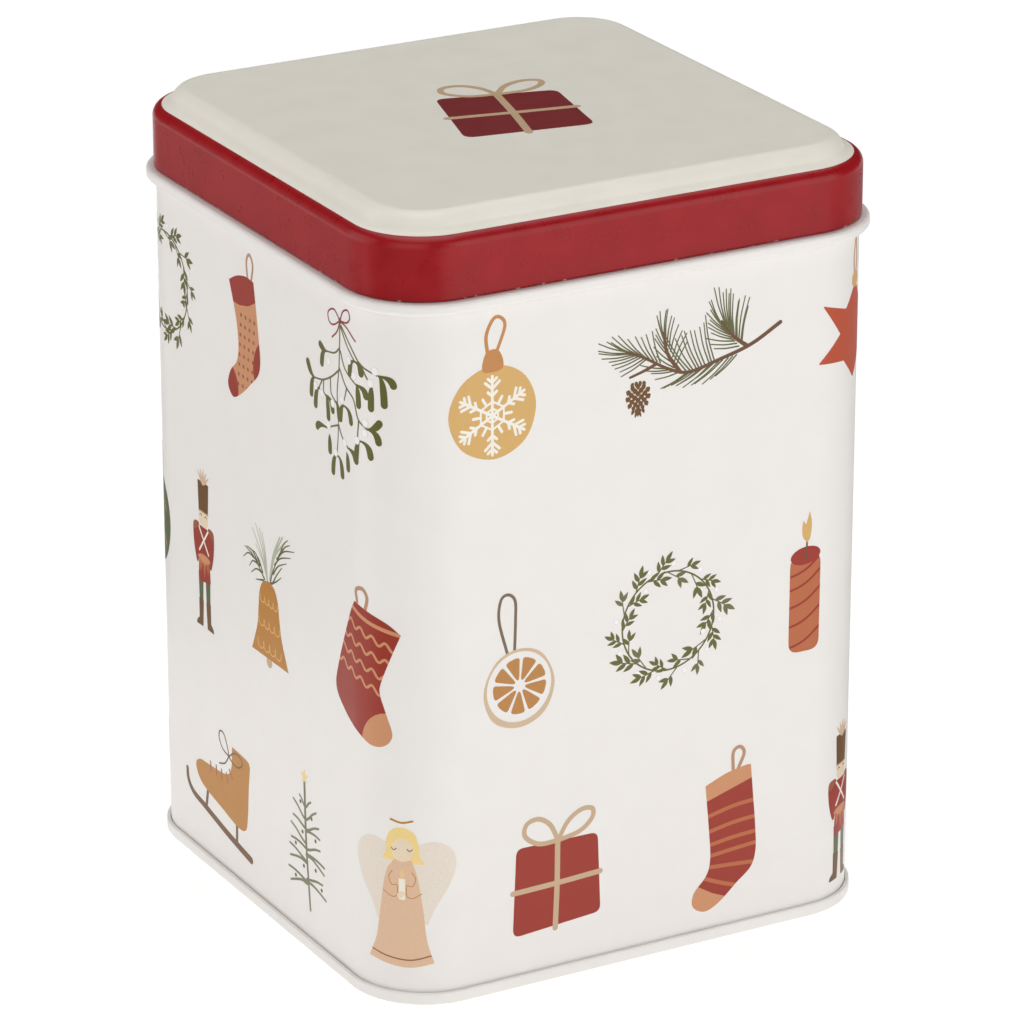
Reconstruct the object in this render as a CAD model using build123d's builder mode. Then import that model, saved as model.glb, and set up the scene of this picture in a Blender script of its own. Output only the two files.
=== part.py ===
"""Square cookie tin with a lift-off lid, made of three pieces of folded tinplate.

body_wall     one wrapped sheet: four straight panels with rounded corners, locked together by an
              upright seam at the back, with a hooked bottom edge, a stop bead, a neck and a curled mouth
bottom_plate  pressed panel, double-seamed to the body's bottom edge
lid           one drawn piece: hemmed skirt, rounded shoulder, narrow ledge and raised panel

Millimetres, +Z up. The origin is on the ground under the middle of the tin, and -Y is the front.
Each profile below is the middle line of the sheet. Its first number is measured outward from the
outside face of the straight wall (negative is inward), its second is the height above the ground.
"""
import os

from build123d import *

# ---- driving dimensions ----------------------------------------------------------------------
panel_width = 110.0  # outside face to outside face of the straight wall, both ways
corner_radius = 15.5  # outside face of the wall, seen from above
tin_height = 160.5  # ground to the lid's raised panel
sheet = 0.25  # thickness of the tinplate

# Body: stop bead, neck and mouth
bead_height = 143.0  # ground to the bead's crest
bead_proud = 2.0  # crest outside the wall
neck_inset = 1.1  # neck's outside face inside the wall
mouth_height = 155.9  # ground to the top of the mouth curl
curl_width = 1.85  # mouth curl, over its outside

# Bottom double seam
seam_height = 2.6
seam_gap = 0.06  # between the folded layers
bottom_recess = 3.2  # ground to the top face of the bottom panel
bottom_step = 0.8  # the middle of the bottom panel is pressed up by this much
step_inset = 10.0  # edge of that raised middle, inside the wall

# Lid
skirt_proud = 0.45  # skirt's outside face outside the wall
skirt_bottom = 144.5  # ground to the hem's lower edge
hem_width = 1.0  # hem, over its outside
hem_height = 1.2
ledge_height = 157.0  # ground to the ledge round the raised panel
shoulder_radius = 2.2  # outside, between skirt and ledge
panel_inset = 3.6  # foot of the raised panel inside the wall's outside face
panel_edge_radius = 3.3  # outside, round the raised panel
panel_edge_slope = 1.1  # the raised panel's edge leans in by this much
panel_foot_radius = 1.7  # between the ledge and that edge

# Lock seam down the back of the body
lock_seam_x = 36.0  # its middle
lock_seam_width = 4.0
lock_seam_layers = 2  # folded layers inside the wall

# ---- worked out from them --------------------------------------------------------------------
half = panel_width / 2
skin = sheet / 2  # from the sheet's middle line to either face
fold = sheet + seam_gap  # from one layer of the seam to the next
tight_bend = 0.98 * fold  # middle-line radius of a sheet folded back over one layer
flat_start = 14.5  # how far inside the wall the swept rims end, short of the corners' centres
plate_width = panel_width - 2 * flat_start + 1.0  # flat plate in the middle, lapping the rims
plate_corner_radius = corner_radius - flat_start + 0.5


def side_profile(points):
    """Points given as (outward from the wall's face, height), as points of the upright X-Z plane."""
    return [(half + outward, height) for outward, height in points]


with BuildLine() as outline:
    # The wall's outside face seen from above, starting in the middle of the right-hand panel.
    FilletPolyline(
        (half, 0),
        (half, half),
        (-half, half),
        (-half, -half),
        (half, -half),
        radius=[0] + 4 * [corner_radius],
        close=True,
    )
rim_path = outline.wire()


# ---- body wall -------------------------------------------------------------------------------
wall_line = -skin
hook_line = wall_line + 2 * fold  # the cover hook lies between the wall and this hook
hook_bottom = sheet + seam_gap + skin
neck_line = -neck_inset - skin
curl_line = neck_line - (curl_width - sheet)
curl_bend = 0.46 * (curl_width - sheet)

with BuildPart() as body_wall:
    with BuildSketch(Plane.XZ) as body_profile:
        with BuildLine():
            FilletPolyline(
                *side_profile(
                    [
                        (hook_line, seam_height - 2 * fold),
                        (hook_line, hook_bottom),
                        (wall_line, hook_bottom),
                        (wall_line, bead_height - 1.1),
                        (bead_proud - skin, bead_height - 0.5),
                        (bead_proud - skin, bead_height + 1.3),
                        (neck_line, bead_height + 0.8),
                        (neck_line, mouth_height - skin),
                        (curl_line, mouth_height - skin),
                        (curl_line, mouth_height - curl_width + skin),
                        (neck_line - 2 * sheet, mouth_height - curl_width + skin),
                    ]
                ),
                radius=[
                    tight_bend,
                    tight_bend,
                    0.5,
                    0.8,
                    0.85,
                    0.6,
                    curl_bend,
                    curl_bend,
                    curl_bend,
                ],
            )
        trace(line_width=sheet)
    sweep(path=rim_path)

    # The lock seam's folded layers stand inside the back panel, between the bottom and the bead.
    lock_seam_bottom = bottom_recess + 1.0
    lock_seam_depth = lock_seam_layers * sheet
    with BuildSketch(Plane.XY.offset(lock_seam_bottom)):
        with Locations((lock_seam_x, half - sheet - lock_seam_depth / 2)):
            Rectangle(lock_seam_width, lock_seam_depth)
    extrude(amount=bead_height - 2 * bead_proud - lock_seam_bottom)
body_wall.part.label = "body_wall"


# ---- bottom plate ----------------------------------------------------------------------------
chuck_line = wall_line - fold  # the plate's wall inside the body
cover_hook_line = wall_line + fold
seaming_line = wall_line + 3 * fold  # the seam's outside layer
foot_bend = 0.45

with BuildPart() as bottom_plate:
    with BuildSketch(Plane.XZ) as bottom_profile:
        with BuildLine():
            FilletPolyline(
                *side_profile(
                    [
                        (-flat_start, bottom_recess + bottom_step - skin),
                        (-step_inset - bottom_step, bottom_recess + bottom_step - skin),
                        (-step_inset, bottom_recess - skin),
                        (chuck_line, bottom_recess - skin),
                        (chuck_line, skin),
                        (seaming_line, skin),
                        (seaming_line, seam_height - skin),
                        (cover_hook_line, seam_height - skin),
                        (cover_hook_line, hook_bottom + 2 * fold),
                    ]
                ),
                radius=[
                    0.8,
                    0.8,
                    0.6,
                    foot_bend,
                    foot_bend,
                    tight_bend,
                    tight_bend,
                ],
            )
        trace(line_width=sheet)
    sweep(path=rim_path)

    with BuildSketch(Plane.XY.offset(bottom_recess + bottom_step - sheet)):
        RectangleRounded(plate_width, plate_width, plate_corner_radius)
    extrude(amount=sheet)
bottom_plate.part.label = "bottom_plate"


# ---- lid -------------------------------------------------------------------------------------
skirt_line = skirt_proud - skin
hem_line = skirt_line - (hem_width - sheet)
hem_bend = 0.48 * (hem_width - sheet)

with BuildPart() as lid:
    with BuildSketch(Plane.XZ) as lid_profile:
        with BuildLine():
            FilletPolyline(
                *side_profile(
                    [
                        (hem_line, skirt_bottom + hem_height),
                        (hem_line, skirt_bottom + skin),
                        (skirt_line, skirt_bottom + skin),
                        (skirt_line, ledge_height - skin),
                        (-panel_inset + skirt_proud, ledge_height - skin),
                        (-panel_inset + skirt_proud - panel_edge_slope, tin_height - skin),
                        (-flat_start, tin_height - skin),
                    ]
                ),
                radius=[
                    hem_bend,
                    hem_bend,
                    shoulder_radius - skin,
                    panel_foot_radius,
                    panel_edge_radius - skin,
                ],
            )
        trace(line_width=sheet)
    sweep(path=rim_path)

    with BuildSketch(Plane.XY.offset(tin_height - sheet)):
        RectangleRounded(plate_width, plate_width, plate_corner_radius)
    extrude(amount=sheet)
lid.part.label = "lid"


os.makedirs("parts", exist_ok=True)
export_step(body_wall.part, "parts/body_wall.step")
export_step(bottom_plate.part, "parts/bottom_plate.step")
export_step(lid.part, "parts/lid.step")
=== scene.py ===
"""Looks of a square cookie tin with a lift-off lid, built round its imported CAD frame.

The three sheets of tinplate are swept again here with finer bends than the CAD meshes have, and the
printed pictures are thin films of ink on the lacquer. Lengths are millimetres until a mesh is made.
Each picture is drawn flat, with x to the right and y up, from the middle of the thing it shows.
"""
import math
import random

import bpy
from mathutils import Matrix, Vector
from mathutils.geometry import delaunay_2d_cdt


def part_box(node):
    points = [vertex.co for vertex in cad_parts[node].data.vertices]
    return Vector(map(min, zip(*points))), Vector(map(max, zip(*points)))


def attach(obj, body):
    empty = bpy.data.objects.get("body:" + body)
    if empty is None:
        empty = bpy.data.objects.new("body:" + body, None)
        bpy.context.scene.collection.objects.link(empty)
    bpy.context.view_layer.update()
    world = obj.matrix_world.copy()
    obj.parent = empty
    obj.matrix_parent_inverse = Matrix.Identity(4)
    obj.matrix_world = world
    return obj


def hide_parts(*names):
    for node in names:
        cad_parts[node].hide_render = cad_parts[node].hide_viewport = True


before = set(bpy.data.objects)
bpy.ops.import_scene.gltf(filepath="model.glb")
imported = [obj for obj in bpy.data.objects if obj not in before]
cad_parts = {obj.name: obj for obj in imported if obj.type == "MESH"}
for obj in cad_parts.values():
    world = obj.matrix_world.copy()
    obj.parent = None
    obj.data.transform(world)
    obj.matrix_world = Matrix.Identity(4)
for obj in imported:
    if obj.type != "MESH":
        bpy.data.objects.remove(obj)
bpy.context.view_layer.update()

# ---- sizes ------------------------------------------------------------------------------------
MM = 0.001
SHEET = 0.25
BEAD_PROUD = 2.0
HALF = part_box("body_wall")[1].x / MM - BEAD_PROUD  # middle of the tin to the wall's outside face
MOUTH_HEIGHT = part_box("body_wall")[1].z / MM
SEAM_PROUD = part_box("bottom_plate")[1].x / MM - HALF
SKIRT_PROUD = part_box("lid")[1].x / MM - HALF
SKIRT_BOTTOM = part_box("lid")[0].z / MM
TIN_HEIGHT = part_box("lid")[1].z / MM

CORNER_RADIUS = 15.5
BEAD_HEIGHT = 143.0
BEAD_LEVELS = (-1.1, -0.5, 1.4, 1.3)  # its four bends above BEAD_HEIGHT, from wall to neck
BEAD_BENDS = (0.5, 0.8, 0.7, 0.6)
NECK_INSET = 1.1
CURL_WIDTH = 1.85
CURL_ROUNDNESS = 0.46  # a bend as a share of the middle line's width; 0.5 is a half circle
SEAM_HEIGHT = 2.6
SEAM_GAP = 0.06
BOTTOM_RECESS = 3.2
BOTTOM_STEP = 0.8
STEP_INSET = 10.0
STEP_BEND, RECESS_BEND, SEAM_BEND = 0.8, 0.6, 0.45  # radii, from the middle outward
HEM_WIDTH = 1.0
HEM_HEIGHT = 1.2
HEM_ROUNDNESS = 0.48
LEDGE_HEIGHT = 157.0
SHOULDER_RADIUS = 2.2
PANEL_INSET = 3.6
PANEL_EDGE_RADIUS = 3.3
PANEL_EDGE_SLOPE = 1.1
PANEL_FOOT_RADIUS = 1.7
FLAT_START = 14.5
LOCK_SEAM_X = 36.0
LOCK_SEAM_WIDTH = 4.0
LOCK_SEAM_GAPS = (1.0, 4.0)  # to the bottom plate and to the bead
LOCK_GROOVE_WIDTH = 0.7
LOCK_GROOVE_DEPTH = 0.12

SKIN = SHEET / 2
FOLD = SHEET + SEAM_GAP
TIGHT_BEND = 0.98 * FOLD
CORNER_STEPS = 24
BEND_STEP = math.radians(9)
INK_HEIGHT = 0.03  # ink stands this far above the lacquer
INK_DEPTH = 0.02  # and its back lies this far inside it
SAME_POINT = 1e-4  # points of a drawing closer than this are one
TRIANGLES_IN_HULL = 0  # delaunay_2d_cdt's output with every triangle of the convex hull

STRAIGHT = 2 * (HALF - CORNER_RADIUS)  # flat part of each panel
CORNER_LENGTH = CORNER_RADIUS * math.pi / 2
QUARTER = STRAIGHT + CORNER_LENGTH  # a quarter of the way round the wall


# ---- the way round the tin ---------------------------------------------------------------------
def along(base, angle, distance):
    """The point at a distance from base, at an angle in degrees."""
    return Vector(base) + distance * Vector(
        (math.cos(math.radians(angle)), math.sin(math.radians(angle)))
    )


def wall_frame(around):
    """The wall's outside face seen from above, this far round to the right of the front panel's
    middle: the point there, and the direction straight out of the wall."""
    panel = round(around / QUARTER)
    beside = around - panel * QUARTER
    flat = min(max(beside, -STRAIGHT / 2), STRAIGHT / 2)
    bend = (beside - flat) / CORNER_RADIUS
    out = Vector((math.sin(bend), -math.cos(bend)))
    point = Vector((flat, -STRAIGHT / 2)) + CORNER_RADIUS * out
    turn = Matrix.Rotation(panel * math.pi / 2, 2)
    return turn @ point, turn @ out


def corner_stations():
    """Distances round the wall at which its corners are cut into short flats."""
    steps = range(CORNER_STEPS + 1)
    starts = [panel * QUARTER + STRAIGHT / 2 for panel in range(4)]
    return [start + CORNER_LENGTH * step / CORNER_STEPS for start in starts for step in steps]


def groove_stations():
    """The same for the lock seam's groove in the back panel, each with the groove's depth there."""
    middle = 2 * QUARTER - LOCK_SEAM_X
    shape = [(-0.5, 0), (-0.3, 1), (0.3, 1), (0.5, 0)]
    return [(middle + LOCK_GROOVE_WIDTH * x, LOCK_GROOVE_DEPTH * depth) for x, depth in shape]


# ---- sheet-metal profiles ----------------------------------------------------------------------
def right_of(direction):
    return Vector((direction.y, -direction.x))


def bent_line(points, radii):
    """[(point, normal)] along a polyline with rounded corners. The normal points to the right of
    the way the line runs, which is the outside of the sheet."""
    corners = [Vector(point) for point in points]
    line = [(corners[0], right_of((corners[1] - corners[0]).normalized()))]
    for before, corner, after, radius in zip(corners, corners[1:], corners[2:], radii):
        way_in = (corner - before).normalized()
        way_out = (after - corner).normalized()
        turn = math.atan2(way_in.cross(way_out), way_in.dot(way_out))
        side = math.copysign(1, turn)
        start = corner - way_in * radius * math.tan(abs(turn) / 2)
        centre = start - right_of(way_in) * radius * side
        steps = max(2, round(abs(turn) / BEND_STEP))
        for step in range(steps + 1):
            normal = Matrix.Rotation(turn * step / steps, 2) @ right_of(way_in)
            line.append((centre + normal * radius * side, normal))
    line.append((corners[-1], right_of((corners[-1] - corners[-2]).normalized())))
    return line


def round_edge(end, way):
    """The sheet's raw edge at the end of a line, rounded from its right face to its left face."""
    point, normal = end
    angles = [math.pi * step / 4 for step in (1, 2, 3)]
    normals = [normal * math.cos(angle) + way * math.sin(angle) for angle in angles]
    return [(point + n * SKIN, n) for n in normals]


def sheet_outline(line, outer_coat, plate_at=None):
    """Section through a sheet along its middle line: [(point, normal, coat)], where the coat is of
    the stretch up to the next point. plate_at names the end that runs into a flat plate."""
    outer = [(point + normal * SKIN, normal) for point, normal in line]
    inner = [(point - normal * SKIN, -normal) for point, normal in reversed(line)]
    start_way = -Vector((-line[0][1].y, line[0][1].x))
    end_way = Vector((-line[-1][1].y, line[-1][1].x))
    end_edge = [] if plate_at == "end" else round_edge(line[-1], end_way)
    start_edge = [] if plate_at == "start" else round_edge((line[0][0], -line[0][1]), start_way)
    section = []
    for index, (point, normal) in enumerate(outer):
        after = outer[min(index + 1, len(outer) - 1)][0]
        section.append((point, normal, outer_coat((point + after) / 2)))
    section += [(point, normal, "edge") for point, normal in end_edge]
    section += [(point, normal, "inside") for point, normal in inner]
    section += [(point, normal, "edge") for point, normal in start_edge]
    if plate_at == "end":
        cut = len(outer)
        section = section[cut:] + section[:cut]
    return section


# ---- meshes ------------------------------------------------------------------------------------
def add_object(name, data):
    """A new object in the scene."""
    added = bpy.data.objects.new(name, data)
    bpy.context.scene.collection.objects.link(added)
    return added


def make_piece(name, vertices, faces, coats, normals, materials):
    """A smooth mesh object from points in millimetres. coats names each face's material, and
    normals holds one direction for each corner of each face."""
    names = sorted(set(coats))
    mesh = bpy.data.meshes.new(name)
    mesh.from_pydata([Vector(vertex) * MM for vertex in vertices], [], faces)
    for coat in names:
        mesh.materials.append(materials[coat])
    mesh.polygons.foreach_set("material_index", [names.index(coat) for coat in coats])
    mesh.polygons.foreach_set("use_smooth", [True] * len(faces))
    mesh.normals_split_custom_set(normals)
    return add_object(name, mesh)


def sweep_sheet(name, section, materials, plate=False, grooved=False):
    """Takes a section once round the tin. With plate, both ends of the section are the rims of a
    flat plate, and the middle is filled."""
    stations = [(around, 0.0) for around in corner_stations()]
    if grooved:
        stations += groove_stations()
    stations.sort()
    vertices, vertex_normals = [], []
    for around, sunk in stations:
        point, out = wall_frame(around)
        for (outward, height), (tilt_out, tilt_up), _ in section:
            place = point + out * (outward - sunk)
            vertices.append((place.x, place.y, height))
            vertex_normals.append(Vector((out.x * tilt_out, out.y * tilt_out, tilt_up)))
    faces, coats = [], []
    count, size = len(stations), len(section)
    for station in range(count):
        here, there = station * size, (station + 1) % count * size
        for index in range(size - 1 if plate else size):
            after = (index + 1) % size
            faces.append((here + index, there + index, there + after, here + after))
            coats.append(section[index][2])
    if plate:
        first_rim = [station * size for station in range(count)]
        last_rim = [rim + size - 1 for rim in first_rim]
        faces += [tuple(reversed(first_rim)), tuple(last_rim)]
        coats += [section[0][2], section[-1][2]]
    normals = [vertex_normals[index] for face in faces for index in face]
    return make_piece(name, vertices, faces, coats, normals, materials)


def build_body_wall(materials):
    wall = -SKIN
    hook = wall + 2 * FOLD
    hook_bottom = SHEET + SEAM_GAP + SKIN
    neck = -NECK_INSET - SKIN
    curl = neck - (CURL_WIDTH - SHEET)
    curl_bend = CURL_ROUNDNESS * (CURL_WIDTH - SHEET)
    bead_foot, bead_low, bead_high, bead_root = BEAD_LEVELS
    line = bent_line(
        [
            (hook, SEAM_HEIGHT - 2 * FOLD),
            (hook, hook_bottom),
            (wall, hook_bottom),
            (wall, BEAD_HEIGHT + bead_foot),
            (BEAD_PROUD - SKIN, BEAD_HEIGHT + bead_low),
            (BEAD_PROUD - SKIN, BEAD_HEIGHT + bead_high),
            (neck, BEAD_HEIGHT + bead_root),
            (neck, MOUTH_HEIGHT - SKIN),
            (curl, MOUTH_HEIGHT - SKIN),
            (curl, MOUTH_HEIGHT - CURL_WIDTH + SKIN),
            (neck - 2 * SHEET, MOUTH_HEIGHT - CURL_WIDTH + SKIN),
        ],
        [TIGHT_BEND, TIGHT_BEND, *BEAD_BENDS, curl_bend, curl_bend, curl_bend],
    )
    section = sheet_outline(line, lambda point: "white")
    piece = sweep_sheet("tin_body_wall", section, materials, grooved=True)
    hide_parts("body_wall")
    return piece


def build_lock_seam(materials):
    """The upright seam that closes the wall: two more layers of its sheet, flat against its inside
    in the back panel, with rounded long edges."""
    levels = (BOTTOM_RECESS + LOCK_SEAM_GAPS[0], BEAD_HEIGHT - LOCK_SEAM_GAPS[1])
    depth = 2 * SHEET
    wall = HALF - SHEET
    left = LOCK_SEAM_X - LOCK_SEAM_WIDTH / 2
    right = LOCK_SEAM_X + LOCK_SEAM_WIDTH / 2
    outline = [(Vector((left, wall)), Vector((-1, 0)))]
    for x, angles in ((left, (180, 225, 270)), (right, (270, 315, 360))):
        inward = math.copysign(depth / 2, LOCK_SEAM_X - x)
        centre = Vector((x + inward, wall - depth / 2))
        for angle in angles:
            out = along((0, 0), angle, 1)
            outline.append((centre + out * depth / 2, out))
    outline.append((Vector((right, wall)), Vector((1, 0))))
    count = len(outline)
    vertices = [(spot.x, spot.y, level) for level in levels for spot, _ in outline]
    faces, normals = [], []
    for index in range(count - 1):
        faces.append((index, index + 1, count + index + 1, count + index))
        here, there = outline[index][1], outline[index + 1][1]
        normals += [(out.x, out.y, 0) for out in (here, there, there, here)]
    faces.append((count - 1, 0, count, 2 * count - 1))
    normals += [(0, 1, 0)] * 4
    faces += [tuple(reversed(range(count))), tuple(range(count, 2 * count))]
    normals += [(0, 0, -1)] * count + [(0, 0, 1)] * count
    coats = ["inside"] * len(faces)
    piece = make_piece("tin_lock_seam", vertices, faces, coats, normals, materials)
    return piece


def build_bottom_plate(materials):
    wall = -SKIN
    seaming = SEAM_PROUD - SKIN
    line = bent_line(
        [
            (-FLAT_START, BOTTOM_RECESS + BOTTOM_STEP - SKIN),
            (-STEP_INSET - BOTTOM_STEP, BOTTOM_RECESS + BOTTOM_STEP - SKIN),
            (-STEP_INSET, BOTTOM_RECESS - SKIN),
            (wall - FOLD, BOTTOM_RECESS - SKIN),
            (wall - FOLD, SKIN),
            (seaming, SKIN),
            (seaming, SEAM_HEIGHT - SKIN),
            (wall + FOLD, SEAM_HEIGHT - SKIN),
            (wall + FOLD, 3 * FOLD + SKIN),
        ],
        [STEP_BEND, STEP_BEND, RECESS_BEND, SEAM_BEND, SEAM_BEND, TIGHT_BEND, TIGHT_BEND],
    )
    section = sheet_outline(line, lambda point: "white", plate_at="start")
    piece = sweep_sheet("tin_bottom_plate", section, materials, plate=True)
    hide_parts("bottom_plate")
    return piece


def build_lid(materials):
    skirt = SKIRT_PROUD - SKIN
    hem = skirt - (HEM_WIDTH - SHEET)
    hem_bend = HEM_ROUNDNESS * (HEM_WIDTH - SHEET)
    foot = -PANEL_INSET + SKIRT_PROUD
    line = bent_line(
        [
            (hem, SKIRT_BOTTOM + HEM_HEIGHT),
            (hem, SKIRT_BOTTOM + SKIN),
            (skirt, SKIRT_BOTTOM + SKIN),
            (skirt, LEDGE_HEIGHT - SKIN),
            (foot, LEDGE_HEIGHT - SKIN),
            (foot - PANEL_EDGE_SLOPE, TIN_HEIGHT - SKIN),
            (-FLAT_START, TIN_HEIGHT - SKIN),
        ],
        [hem_bend, hem_bend, SHOULDER_RADIUS - SKIN, PANEL_FOOT_RADIUS, PANEL_EDGE_RADIUS - SKIN],
    )
    colour_line = LEDGE_HEIGHT - 0.02  # just short of the top of the shoulder
    # above the colour line the lid takes the cream coat, whose yellow tint is partly painted warm
    # light on the top
    section = sheet_outline(
        line, lambda point: "cream" if point.y > colour_line else "red", plate_at="end"
    )
    piece = sweep_sheet("tin_lid", section, materials, plate=True)
    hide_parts("lid")
    return piece


# ---- materials ---------------------------------------------------------------------------------
def paint(red, green, blue):
    """A colour as it looks under even white light, 0 to 255, as the linear colour of a shader."""
    values = [value / 255 for value in (red, green, blue)]
    linear = [v / 12.92 if v <= 0.04045 else ((v + 0.055) / 1.055) ** 2.4 for v in values]
    return (*linear, 1.0)


CLOUD_RANGE = (0.3, 0.7)  # the middle of a noise, where most of its values lie


class Shader:
    """A material with a Principled BSDF and the few nodes that its detail is made with."""

    def __init__(self, name, roughness, metallic=0.0, specular=0.5):
        self.material = bpy.data.materials.new(name)
        self.material.use_nodes = True
        self.nodes = self.material.node_tree.nodes
        self.links = self.material.node_tree.links
        self.bsdf = self.nodes["Principled BSDF"]
        self.feed(self.bsdf, {"Roughness": roughness, "Metallic": metallic})
        self.feed(self.bsdf, {"Specular IOR Level": specular})
        self.place = self.add("TexCoord", "Object", {})

    def feed(self, node, inputs):
        """Sets inputs of a node to numbers or colours, or links them to sockets."""
        for name, value in inputs.items():
            if isinstance(value, bpy.types.NodeSocket):
                self.links.new(value, node.inputs[name])
            else:
                node.inputs[name].default_value = value

    def add(self, kind, output, inputs, operation=None, data_type=None):
        """Adds a node of a kind, feeds its inputs and returns one of its output sockets."""
        node = self.nodes.new("ShaderNode" + kind)
        if operation:
            node.operation = operation
        if data_type:
            node.data_type = data_type
        self.feed(node, inputs)
        return node.outputs[output]

    def noise(self, size, detail=2.0):
        """Noise with features about size millimetres wide."""
        inputs = {"Scale": 1 / (size * MM), "Detail": detail, "Vector": self.place}
        return self.add("TexNoise", "Fac", inputs)

    def cloud(self, size, detail=2.0, to_low=0.0, to_high=1.0):
        """Soft patches about size millimetres wide, from to_low to to_high."""
        return self.spread(self.noise(size, detail), *CLOUD_RANGE, to_low, to_high)

    def height(self):
        """Height above the floor at rest, in millimetres."""
        return self.times(self.add("SeparateXYZ", "Z", {"Vector": self.place}), 1 / MM)

    def distance(self):
        """Distance from the object's origin, in millimetres."""
        length = self.add("VectorMath", "Value", {0: self.place}, operation="LENGTH")
        return self.times(length, 1 / MM)

    def times(self, first, second):
        """The product of a socket and a socket or number."""
        return self.add("Math", "Value", {0: first, 1: second}, operation="MULTIPLY")

    def spread(self, value, low, high, to_low=0.0, to_high=1.0):
        """Maps low..high of a value to to_low..to_high, and holds it there."""
        limits = {"From Min": low, "From Max": high, "To Min": to_low, "To Max": to_high}
        return self.add("MapRange", "Result", {**limits, "Value": value})

    def mix(self, share, first, second):
        """A colour between first and second, each a colour or a socket."""
        inputs = {"Factor": share, "A": first, "B": second}
        return self.add("Mix", "Result", inputs, data_type="RGBA")

    def colour(self, socket):
        self.feed(self.bsdf, {"Base Color": socket})

    def gloss(self, socket):
        self.feed(self.bsdf, {"Roughness": socket})

    def bump(self, height, distance, below=None):
        """Raises the surface by up to distance millimetres, over the bump below it, if any."""
        inputs = {"Strength": 1.0, "Distance": distance * MM, "Height": height}
        if below is not None:
            inputs["Normal"] = below
        normal = self.add("Bump", "Normal", inputs)
        self.feed(self.bsdf, {"Normal": normal})
        return normal


def sheet_surface(shader):
    """The slow waves of thin sheet and the fine orange peel of its lacquer."""
    waves = shader.bump(shader.noise(38.0, detail=0.0), 0.05)
    shader.bump(shader.noise(0.6, detail=1.0), 0.0004, below=waves)


def pale_lacquer(name, dark, light, glossy, dull):
    """A light satin lacquer that wavers between two colours and two roughnesses."""
    shader = Shader(name, 0.38, specular=0.4)
    shader.colour(shader.mix(shader.cloud(9.0, 3.0), paint(*dark), paint(*light)))
    shader.gloss(shader.cloud(4.0, 2.0, glossy, dull))
    sheet_surface(shader)
    return shader.material


def red_lacquer():
    """Deep red, with small pale chips where the paint cracked along the fold of the hem."""
    shader = Shader("red_lacquer", 0.3, specular=0.28)
    red = shader.mix(shader.cloud(6.0, 1.0), paint(148, 14, 22), paint(156, 18, 26))
    chips = shader.spread(shader.noise(1.1, detail=2.0), 0.62, 0.66)
    edge = shader.spread(shader.height(), SKIRT_BOTTOM + 0.5, SKIRT_BOTTOM + 0.2)
    shader.colour(shader.mix(shader.times(chips, edge), red, paint(206, 188, 176)))
    shader.gloss(shader.cloud(3.0, 2.0, 0.26, 0.34))
    sheet_surface(shader)
    return shader.material


def bare_tinplate():
    """The inside of the sheet: bright tin under a milky lacquer, with a faint crystal pattern."""
    shader = Shader("bare_tinplate", 0.36, metallic=0.35)
    spangle = shader.spread(shader.noise(7.0, detail=4.0), 0.35, 0.65)
    shader.colour(shader.mix(spangle, paint(206, 204, 199), paint(217, 215, 209)))
    shader.gloss(shader.cloud(1.5, 2.0, 0.32, 0.42))
    sheet_surface(shader)
    return shader.material


def cut_edge():
    """The raw edge where the sheet was cut: darker, duller metal."""
    shader = Shader("cut_edge", 0.45, metallic=1.0)
    shader.colour(shader.mix(shader.cloud(0.3), paint(120, 116, 110), paint(170, 166, 160)))
    shader.bump(shader.noise(0.2), 0.01)
    return shader.material


coats = {
    "white": pale_lacquer("white_lacquer", (235, 231, 227), (237, 233, 229), 0.34, 0.42),
    # cream: the lid's lacquer, a little yellower than the wall's white; the yellow tint is partly
    # painted light, the warmer light that falls on the lid's top
    "cream": pale_lacquer("lid_lacquer_warm_lit", (232, 228, 216), (236, 232, 221), 0.36, 0.44),
    "red": red_lacquer(),
    "inside": bare_tinplate(),
    "edge": cut_edge(),
}

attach(build_body_wall(coats), "tin")
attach(build_lock_seam(coats), "tin")
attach(build_bottom_plate(coats), "tin")
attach(build_lid(coats), "lid")


# ---- drawing -----------------------------------------------------------------------------------
def curve(points, steps=6):
    """A smooth line through all the points (Catmull-Rom), as short straight pieces."""
    knots = [Vector(point) for point in points]
    knots = [2 * knots[0] - knots[1], *knots, 2 * knots[-1] - knots[-2]]
    line = []
    for a, b, c, d in zip(knots, knots[1:], knots[2:], knots[3:]):
        for step in range(steps):
            t = step / steps
            line.append(
                0.5 * (2 * b + (c - a) * t + (2 * a - 5 * b + 4 * c - d) * t**2
                       + (3 * b - a - 3 * c + d) * t**3)
            )
    return line + [knots[-2]]


def blob(points, steps=6):
    """A smooth closed outline through all the points."""
    closed = curve([*points[-2:], *points, *points[:2]], steps)
    return closed[2 * steps : -steps - 1]


def joined(*runs):
    """A closed outline of smooth lines, each of which starts where the one before it ends."""
    return [point for run in runs for point in curve(run)[:-1]]


def mirrored(points, side):
    """The points as they are with side 1, and left for right with side -1."""
    return [(side * x, y) for x, y in points]


def in_turn(tips, hollows):
    """The outline of a star, from a tip to the hollow after it and so on."""
    return [point for pair in zip(tips, hollows) for point in pair]


def ring_of(centre, radius, count, start=90.0):
    """Points spaced evenly round a centre, from an angle in degrees."""
    angles = [math.radians(start + 360 * index / count) for index in range(count)]
    return [Vector(centre) + radius * Vector((math.cos(a), math.sin(a))) for a in angles]


def ellipse(centre, across, tall=None, turn=0.0, steps=28):
    """An ellipse given by its half width and half height, turned by degrees."""
    turned = Matrix.Rotation(math.radians(turn), 2)
    shape = [Vector((x * across, y * (tall or across))) for x, y in ring_of((0, 0), 1, steps)]
    return [Vector(centre) + turned @ point for point in shape]


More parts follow.
